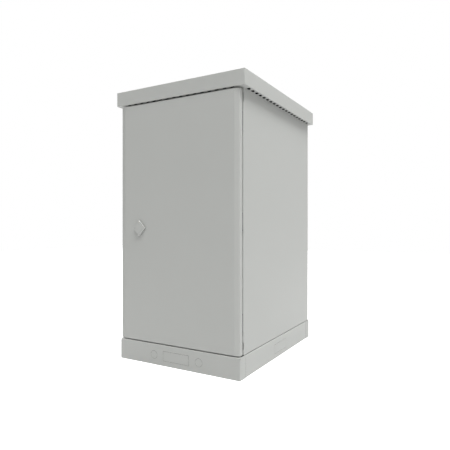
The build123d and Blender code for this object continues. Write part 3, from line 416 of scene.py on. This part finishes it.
def growPiece(name, points, edges, tree, values, body, slotName, facings=()):
    mesh = bpy.data.meshes.new(name)
    mesh.from_pydata(points, edges, [])
    if facings:
        direction = mesh.attributes.new("facing", "FLOAT_VECTOR", "POINT")
        direction.data.foreach_set("vector", [part for way in facings for part in way])
    piece = bpy.data.objects.new(name, mesh)
    scene.collection.objects.link(piece)
    layout = piece.modifiers.new("layout", "NODES")
    layout.node_group = tree
    values = dict(values, Material=finishes[slotName])
    for item in tree.interface.items_tree:
        if item.in_out == "INPUT" and item.name in values:
            layout[item.identifier] = values[item.name]
    graph = bpy.context.evaluated_depsgraph_get()
    grown = bpy.data.meshes.new_from_object(piece.evaluated_get(graph), depsgraph=graph)
    piece.modifiers.clear()
    piece.data = grown
    bpy.data.meshes.remove(mesh)
    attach(piece, body)
    print(name, "has", len(grown.polygons), "faces")
    return piece


def addScrews(name, points, settings, body, facing):
    growPiece(name, points, [], screwLayout, settings, body, "zinc_steel", [facing] * len(points))


def spread(low, high, inset, count):
    # evenly spaced places, the first and the last one an inset away from the ends
    first, last = low + inset, high - inset
    return [first + (last - first) * step / (count - 1) for step in range(count)]


# screws that hold the rear panel on its gasket
rearScrews = {"inset": 0.010, "columns": 4, "rows": 7,
              "Head Radius": 0.0055, "Head Height": 0.0026, "Socket Radius": 0.002, "Seed": 3}
low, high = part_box("rear_panel")
edgeX = spread(low.x, high.x, rearScrews["inset"], rearScrews["columns"])
edgeZ = spread(low.z, high.z, rearScrews["inset"], rearScrews["rows"])
rearPoints = [(x, high.y, z) for z in (edgeZ[0], edgeZ[-1]) for x in edgeX]
rearPoints += [(x, high.y, z) for x in (edgeX[0], edgeX[-1]) for z in edgeZ[1:-1]]
addScrews("rear_panel_screws", rearPoints, rearScrews, "cabinet", (0, 1, 0))

# screws in the hinge leaves, on the door's lip and behind the frame
leafScrews = {"spread": 0.021, "doorInset": 0.0065, "frameInset": 0.009, "leafSheet": 0.0016,
              "Head Radius": 0.0042, "Head Height": 0.0017, "Socket Radius": 0.0015, "Seed": 8}
doorPoints, framePoints = [], []
for level in ("lower", "middle", "upper"):
    doorLow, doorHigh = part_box(f"{level}_hinge_door_leaf")
    bodyLow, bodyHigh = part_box(f"{level}_hinge_body_leaf")
    middle = (doorLow.z + doorHigh.z) / 2
    for z in (middle - leafScrews["spread"], middle + leafScrews["spread"]):
        doorPoints.append((doorLow.x + leafScrews["doorInset"], doorLow.y + leafScrews["leafSheet"], z))
        framePoints.append((bodyLow.x + leafScrews["frameInset"], bodyHigh.y, z))
addScrews("door_leaf_screws", doorPoints, leafScrews, "door", (0, 1, 0))
addScrews("frame_leaf_screws", framePoints, leafScrews, "cabinet", (0, 1, 0))

# screws round the gland plate
glandScrews = {"inset": 0.009, "columns": 4, "rows": 2,
               "Head Radius": 0.0045, "Head Height": 0.0022, "Socket Radius": 0.0016, "Seed": 5}
low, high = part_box("gland_plate")
glandPoints = [
    (x, y, high.z)
    for x in spread(low.x, high.x, glandScrews["inset"], glandScrews["columns"])
    for y in spread(low.y, high.y, glandScrews["inset"], glandScrews["rows"])]
addScrews("gland_plate_screws", glandPoints, glandScrews, "cabinet", (0, 0, 1))

# screws through the feet of the rod brackets
bracketScrews = {"inset": 0.007, "columns": 2, "footSheet": 0.002,
                 "Head Radius": 0.0045, "Head Height": 0.0022, "Socket Radius": 0.0016, "Seed": 9}
bracketPoints = []
for level in ("lower", "upper"):
    low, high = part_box(f"{level}_rod_bracket")
    for x in spread(low.x, high.x, bracketScrews["inset"], bracketScrews["columns"]):
        bracketPoints.append((x, low.y + bracketScrews["footSheet"], (low.z + high.z) / 2))
addScrews("rod_bracket_screws", bracketPoints, bracketScrews, "door", (0, 1, 0))

# spot welds along the lips of the struts
strutWelds = {"inset": 0.020, "count": 8, "lipInset": 0.0075, "lips": 2, "lipSheet": 0.002,
              "Mark Radius": 0.0032, "Mark Height": 0.0005}
weldPoints, weldFacings = [], []
for level in ("lower", "upper"):
    for hand, way in (("left", 1), ("right", -1)):
        low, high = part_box(f"{level}_{hand}_strut")
        x = (low.x if way > 0 else high.x) + way * strutWelds["lipSheet"]
        for z in spread(low.z, high.z, strutWelds["lipInset"], strutWelds["lips"]):
            for y in spread(low.y, high.y, strutWelds["inset"], strutWelds["count"]):
                weldPoints.append((x, y, z))
                weldFacings.append((way, 0, 0))
growPiece("strut_welds", weldPoints, [], weldLayout, strutWelds, "cabinet", "zinc_steel", weldFacings)

# spot welds along the lips of the door stiffeners
doorWelds = {"inset": 0.016, "count": 6, "lipInset": 0.0075, "lips": 2, "lipSheet": 0.0015,
             "Mark Radius": 0.003, "Mark Height": 0.0005}
weldPoints = []
for level in ("lower", "upper"):
    low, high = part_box(f"{level}_door_stiffener")
    for z in spread(low.z, high.z, doorWelds["lipInset"], doorWelds["lips"]):
        for x in spread(low.x, high.x, doorWelds["inset"], doorWelds["count"]):
            weldPoints.append((x, low.y + doorWelds["lipSheet"], z))
weldFacings = [(0, 1, 0)] * len(weldPoints)
growPiece("stiffener_welds", weldPoints, [], weldLayout, doorWelds, "door", "powder_coat", weldFacings)

# a dark plug, shaped like a weld mark, sits in the sealing hole of the lock cover as painted shade for the hole's
# shadowed inside
holeShadePlug = {"fromMiddle": 0.02275, "recess": 0.0003, "Mark Radius": 0.00195, "Mark Height": 0.0012}
low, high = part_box("lock_cover")
holeShadePlace = (
    (low.x + high.x) / 2 - holeShadePlug["fromMiddle"],
    low.y + holeShadePlug["recess"] + holeShadePlug["Mark Height"],
    (low.z + high.z) / 2)
growPiece("cover_hole_shade", [holeShadePlace], [], weldLayout, holeShadePlug, "lock_cover", "slider_plastic", [(0, -1, 0)])

# foam bead round the door's inner face
sealBead = {"Bead Width": 0.012, "Bead Height": 0.0121, "Bead Round": 0.0038, "Corner Radius": 0.014}
low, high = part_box("door_seal")
half = sealBead["Bead Width"] / 2
middleY = (low.y + high.y) / 2
ring = [(low.x + half, middleY, low.z + half), (high.x - half, middleY, low.z + half),
        (high.x - half, middleY, high.z - half), (low.x + half, middleY, high.z - half)]
ringEdges = [(0, 1), (1, 2), (2, 3), (3, 0)]
bead = growPiece("door_seal_bead", ring, ringEdges, sealLayout, sealBead, "door", "rubber")
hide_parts("door_seal")


# pieces that are plain slabs, each given by its low and its high corner

def addSlabs(name, slabs, body, slotName):
    points, faces = [], []
    for low, high in slabs:
        first = len(points)
        points += [(x, y, z) for z in (low[2], high[2]) for y in (low[1], high[1]) for x in (low[0], high[0])]
        sides = ((0, 2, 3, 1), (4, 5, 7, 6), (0, 1, 5, 4), (1, 3, 7, 5), (3, 2, 6, 7), (2, 0, 4, 6))
        faces += [tuple(first + corner for corner in side) for side in sides]
    mesh = bpy.data.meshes.new(name)
    mesh.from_pydata(points, [], faces)
    mesh.materials.append(finishes[slotName])
    piece = bpy.data.objects.new(name, mesh)
    scene.collection.objects.link(piece)
    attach(piece, body)
    print(name, "has", len(mesh.polygons), "faces")


# dust filters of dark foam that lie on the vent strips; their near-black colour is painted shade that makes the
# slots look black
ventShadeFilters = {"sheet": 0.0015, "thickness": 0.003, "wallGap": 0.0005, "foldGap": 0.004, "endGap": 0.006}
slabs = []
for hand, way in (("left", -1), ("right", 1)):
    low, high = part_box(f"{hand}_vent_strip")
    base = low.z + ventShadeFilters["sheet"]
    innerX, outerX = sorted((abs(low.x), abs(high.x)))
    acrossStrip = sorted((way * (innerX + ventShadeFilters["wallGap"]), way * (outerX - ventShadeFilters["foldGap"])))
    slabs.append((
        (acrossStrip[0], low.y + ventShadeFilters["endGap"], base),
        (acrossStrip[1], high.y - ventShadeFilters["endGap"], base + ventShadeFilters["thickness"])))
low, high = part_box("front_vent_strip")
base = low.z + ventShadeFilters["sheet"]
slabs.append((
    (low.x + ventShadeFilters["endGap"], low.y + ventShadeFilters["foldGap"], base),
    (high.x - ventShadeFilters["endGap"], high.y - ventShadeFilters["wallGap"], base + ventShadeFilters["thickness"])))
addSlabs("vent_shade_filters", slabs, "cabinet", "rubber")

# the same dark foam swelling through the slots on the two sides, as painted shade that darkens the slot dashes
ventShadePads = {"pitch": 0.035, "fromEdge": 0.014, "endMargin": 0.044, "lift": 0.0008,
            "across": 0.0065, "along": 0.0095, "swell": 0.0044}
roofLow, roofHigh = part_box("roof_canopy")
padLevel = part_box("front_vent_strip")[0].z + ventShadePads["lift"]
padCount = round((roofHigh.y - roofLow.y - 2 * ventShadePads["endMargin"]) / ventShadePads["pitch"])
sidePads = [
    (way * (roofHigh.x - ventShadePads["fromEdge"]), (step - (padCount - 1) / 2) * ventShadePads["pitch"], padLevel)
    for way in (-1, 1) for step in range(padCount)]
halfSize = {"Half Size": (ventShadePads["across"], ventShadePads["along"], ventShadePads["swell"])}
growPiece("side_vent_shade_pads", sidePads, [], padLayout, halfSize, "cabinet", "rubber")

# dark beads between the side walls and the plinth, and in the plinth's corner seams, as painted shade for the
# shadow lines of these joints
jointShadeBeads = {"height": 0.0005, "depth": 0.003, "proud": 0.0005, "endGap": 0.003,
              "seamWidth": 0.0005, "seamProud": 0.00005}
slabs = []
for hand, way in (("left", -1), ("right", 1)):
    low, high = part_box(f"{hand}_side_panel")
    face = way * max(abs(low.x), abs(high.x))
    acrossWall = sorted((face - way * jointShadeBeads["depth"], face + way * jointShadeBeads["proud"]))
    slabs.append((
        (acrossWall[0], low.y + jointShadeBeads["endGap"], low.z),
        (acrossWall[1], high.y - jointShadeBeads["endGap"], low.z + jointShadeBeads["height"])))
    low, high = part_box(f"plinth_{hand}_panel")
    face = way * max(abs(low.x), abs(high.x))
    acrossWall = sorted((face - way * jointShadeBeads["depth"], face + way * jointShadeBeads["seamProud"]))
    for seam in (low.y, high.y):
        slabs.append((
            (acrossWall[0], seam - jointShadeBeads["seamWidth"] / 2, low.z + jointShadeBeads["endGap"]),
            (acrossWall[1], seam + jointShadeBeads["seamWidth"] / 2, high.z - jointShadeBeads["endGap"])))
addSlabs("joint_shade_beads", slabs, "cabinet", "rubber")

# shaded bottom of the knockout grooves in the plinth: one window a panel, and two discs on each end
grooveLines = {
    "width": 0.131, "height": 0.041, "round": 0.017, "spacing": 0.228, "drop": 0.002, "depth": 0.0007, "steps": 24,
    "Bead Width": 0.0006, "Bead Height": 0.0006, "Bead Round": 0.0001, "Corner Radius": 0.0001,
}
halfWidth, halfHeight = grooveLines["width"] / 2, grooveLines["height"] / 2
window = [(-halfWidth, -halfHeight), (halfWidth, -halfHeight), (halfWidth, halfHeight), (-halfWidth, halfHeight)]
turns = [2 * math.pi * step / grooveLines["steps"] for step in range(grooveLines["steps"])]
discs = [
    [(middle + grooveLines["round"] * math.cos(turn), grooveLines["round"] * math.sin(turn)) for turn in turns]
    for middle in (-grooveLines["spacing"] / 2, grooveLines["spacing"] / 2)]
points, edges = [], []
for panel in ("front", "rear", "left", "right"):
    low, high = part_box(f"plinth_{panel}_panel")
    level = (low.z + high.z) / 2 - grooveLines["drop"]
    onEnd = panel in ("front", "rear")
    axis = 1 if onEnd else 0
    face = low[axis] + grooveLines["depth"] if panel in ("front", "left") else high[axis] - grooveLines["depth"]
    for loop in [window] + (discs if onEnd else []):
        first = len(points)
        points += [(across, face, level + up) if onEnd else (face, across, level + up) for across, up in loop]
        edges += [(first + step, first + (step + 1) % len(loop)) for step in range(len(loop))]
growPiece("knockout_grooves", points, edges, sealLayout, grooveLines, "cabinet", "rubber")


# studio

def addBackgroundRays(tree):
    # 1 for what the camera, a mirror or glass sees, 0 for the light that falls on the object
    rays = tree.nodes.new("ShaderNodeLightPath")
    seen = addMath(tree, "MAXIMUM", rays.outputs["Is Camera Ray"], rays.outputs["Is Glossy Ray"])
    return addMath(tree, "MAXIMUM", seen, rays.outputs["Is Transmission Ray"])


studio = {"white": (1.0, 1.0, 1.0, 1.0), "skyStrength": 0.185, "floorColour": (0.72, 0.72, 0.72, 1.0),
          "floorGlow": 0.80, "floorSize": 16.0}
world = bpy.data.worlds.new("studioSky")
world.use_nodes = True
scene.world = world
skyTree = world.node_tree
skyStrength = addRange(skyTree, addBackgroundRays(skyTree), studio["skyStrength"], 1.0, 0.0, 1.0)
wire(skyTree, skyTree.nodes["Background"], {"Color": studio["white"], "Strength": skyStrength})

floorPaint, floorTree, floorShader = newFinish("floorPaint", {
    "Base Color": studio["floorColour"], "Roughness": 1.0, "Specular IOR Level": 0.0,
    "Emission Color": studio["white"]})
floorGlow = addMath(floorTree, "MULTIPLY", addBackgroundRays(floorTree), studio["floorGlow"])
floorTree.links.new(floorGlow, floorShader.inputs["Emission Strength"])
reach = studio["floorSize"] / 2
floorMesh = bpy.data.meshes.new("studioFloor")
floorMesh.from_pydata(
    [(-reach, -reach, 0), (reach, -reach, 0), (reach, reach, 0), (-reach, reach, 0)], [], [(0, 1, 2, 3)])
floorMesh.materials.append(floorPaint)
studioFloor = bpy.data.objects.new("studioFloor", floorMesh)
scene.collection.objects.link(studioFloor)


def addSoftbox(name, box):
    lamp = bpy.data.lights.new(name, "AREA")
    lamp.shape = "SQUARE"
    lamp.size = box["size"]
    lamp.energy = box["watts"]
    holder = bpy.data.objects.new(name, lamp)
    azimuth, elevation = math.radians(box["azimuth"]), math.radians(box["elevation"])
    away = Vector((
        math.sin(azimuth) * math.cos(elevation), -math.cos(azimuth) * math.cos(elevation), math.sin(elevation)))
    holder.location = Vector(box["aim"]) + away * box["distance"]
    holder.rotation_euler = away.to_track_quat("Z", "Y").to_euler()
    scene.collection.objects.link(holder)


softboxes = {
    "keyBox": {"azimuth": 64, "elevation": 63, "distance": 9.0, "size": 4.0, "watts": 618, "aim": (0, 0, 0.6)},
    "topBox": {"azimuth": 30, "elevation": 76, "distance": 6.0, "size": 6.0, "watts": 240, "aim": (0, 0, 0.6)},
    "fillBox": {"azimuth": 228, "elevation": 38, "distance": 9.0, "size": 6.0, "watts": 260, "aim": (0, 0, 0.6)},
}
for boxName, box in softboxes.items():
    addSoftbox(boxName, box)

viewpoint = {"place": (1.086, -1.8627, 0.5966), "turn": (90, 0, 30), "lens": 35.0, "sensor": 36.0}
eye = bpy.data.cameras.new("photoView")
eye.lens = viewpoint["lens"]
eye.sensor_width = viewpoint["sensor"]
camera = bpy.data.objects.new("photoView", eye)
camera.location = viewpoint["place"]
camera.rotation_euler = [math.radians(angle) for angle in viewpoint["turn"]]
scene.collection.objects.link(camera)
scene.camera = camera
scene.view_settings.view_transform = "Standard"
print("studio ready")
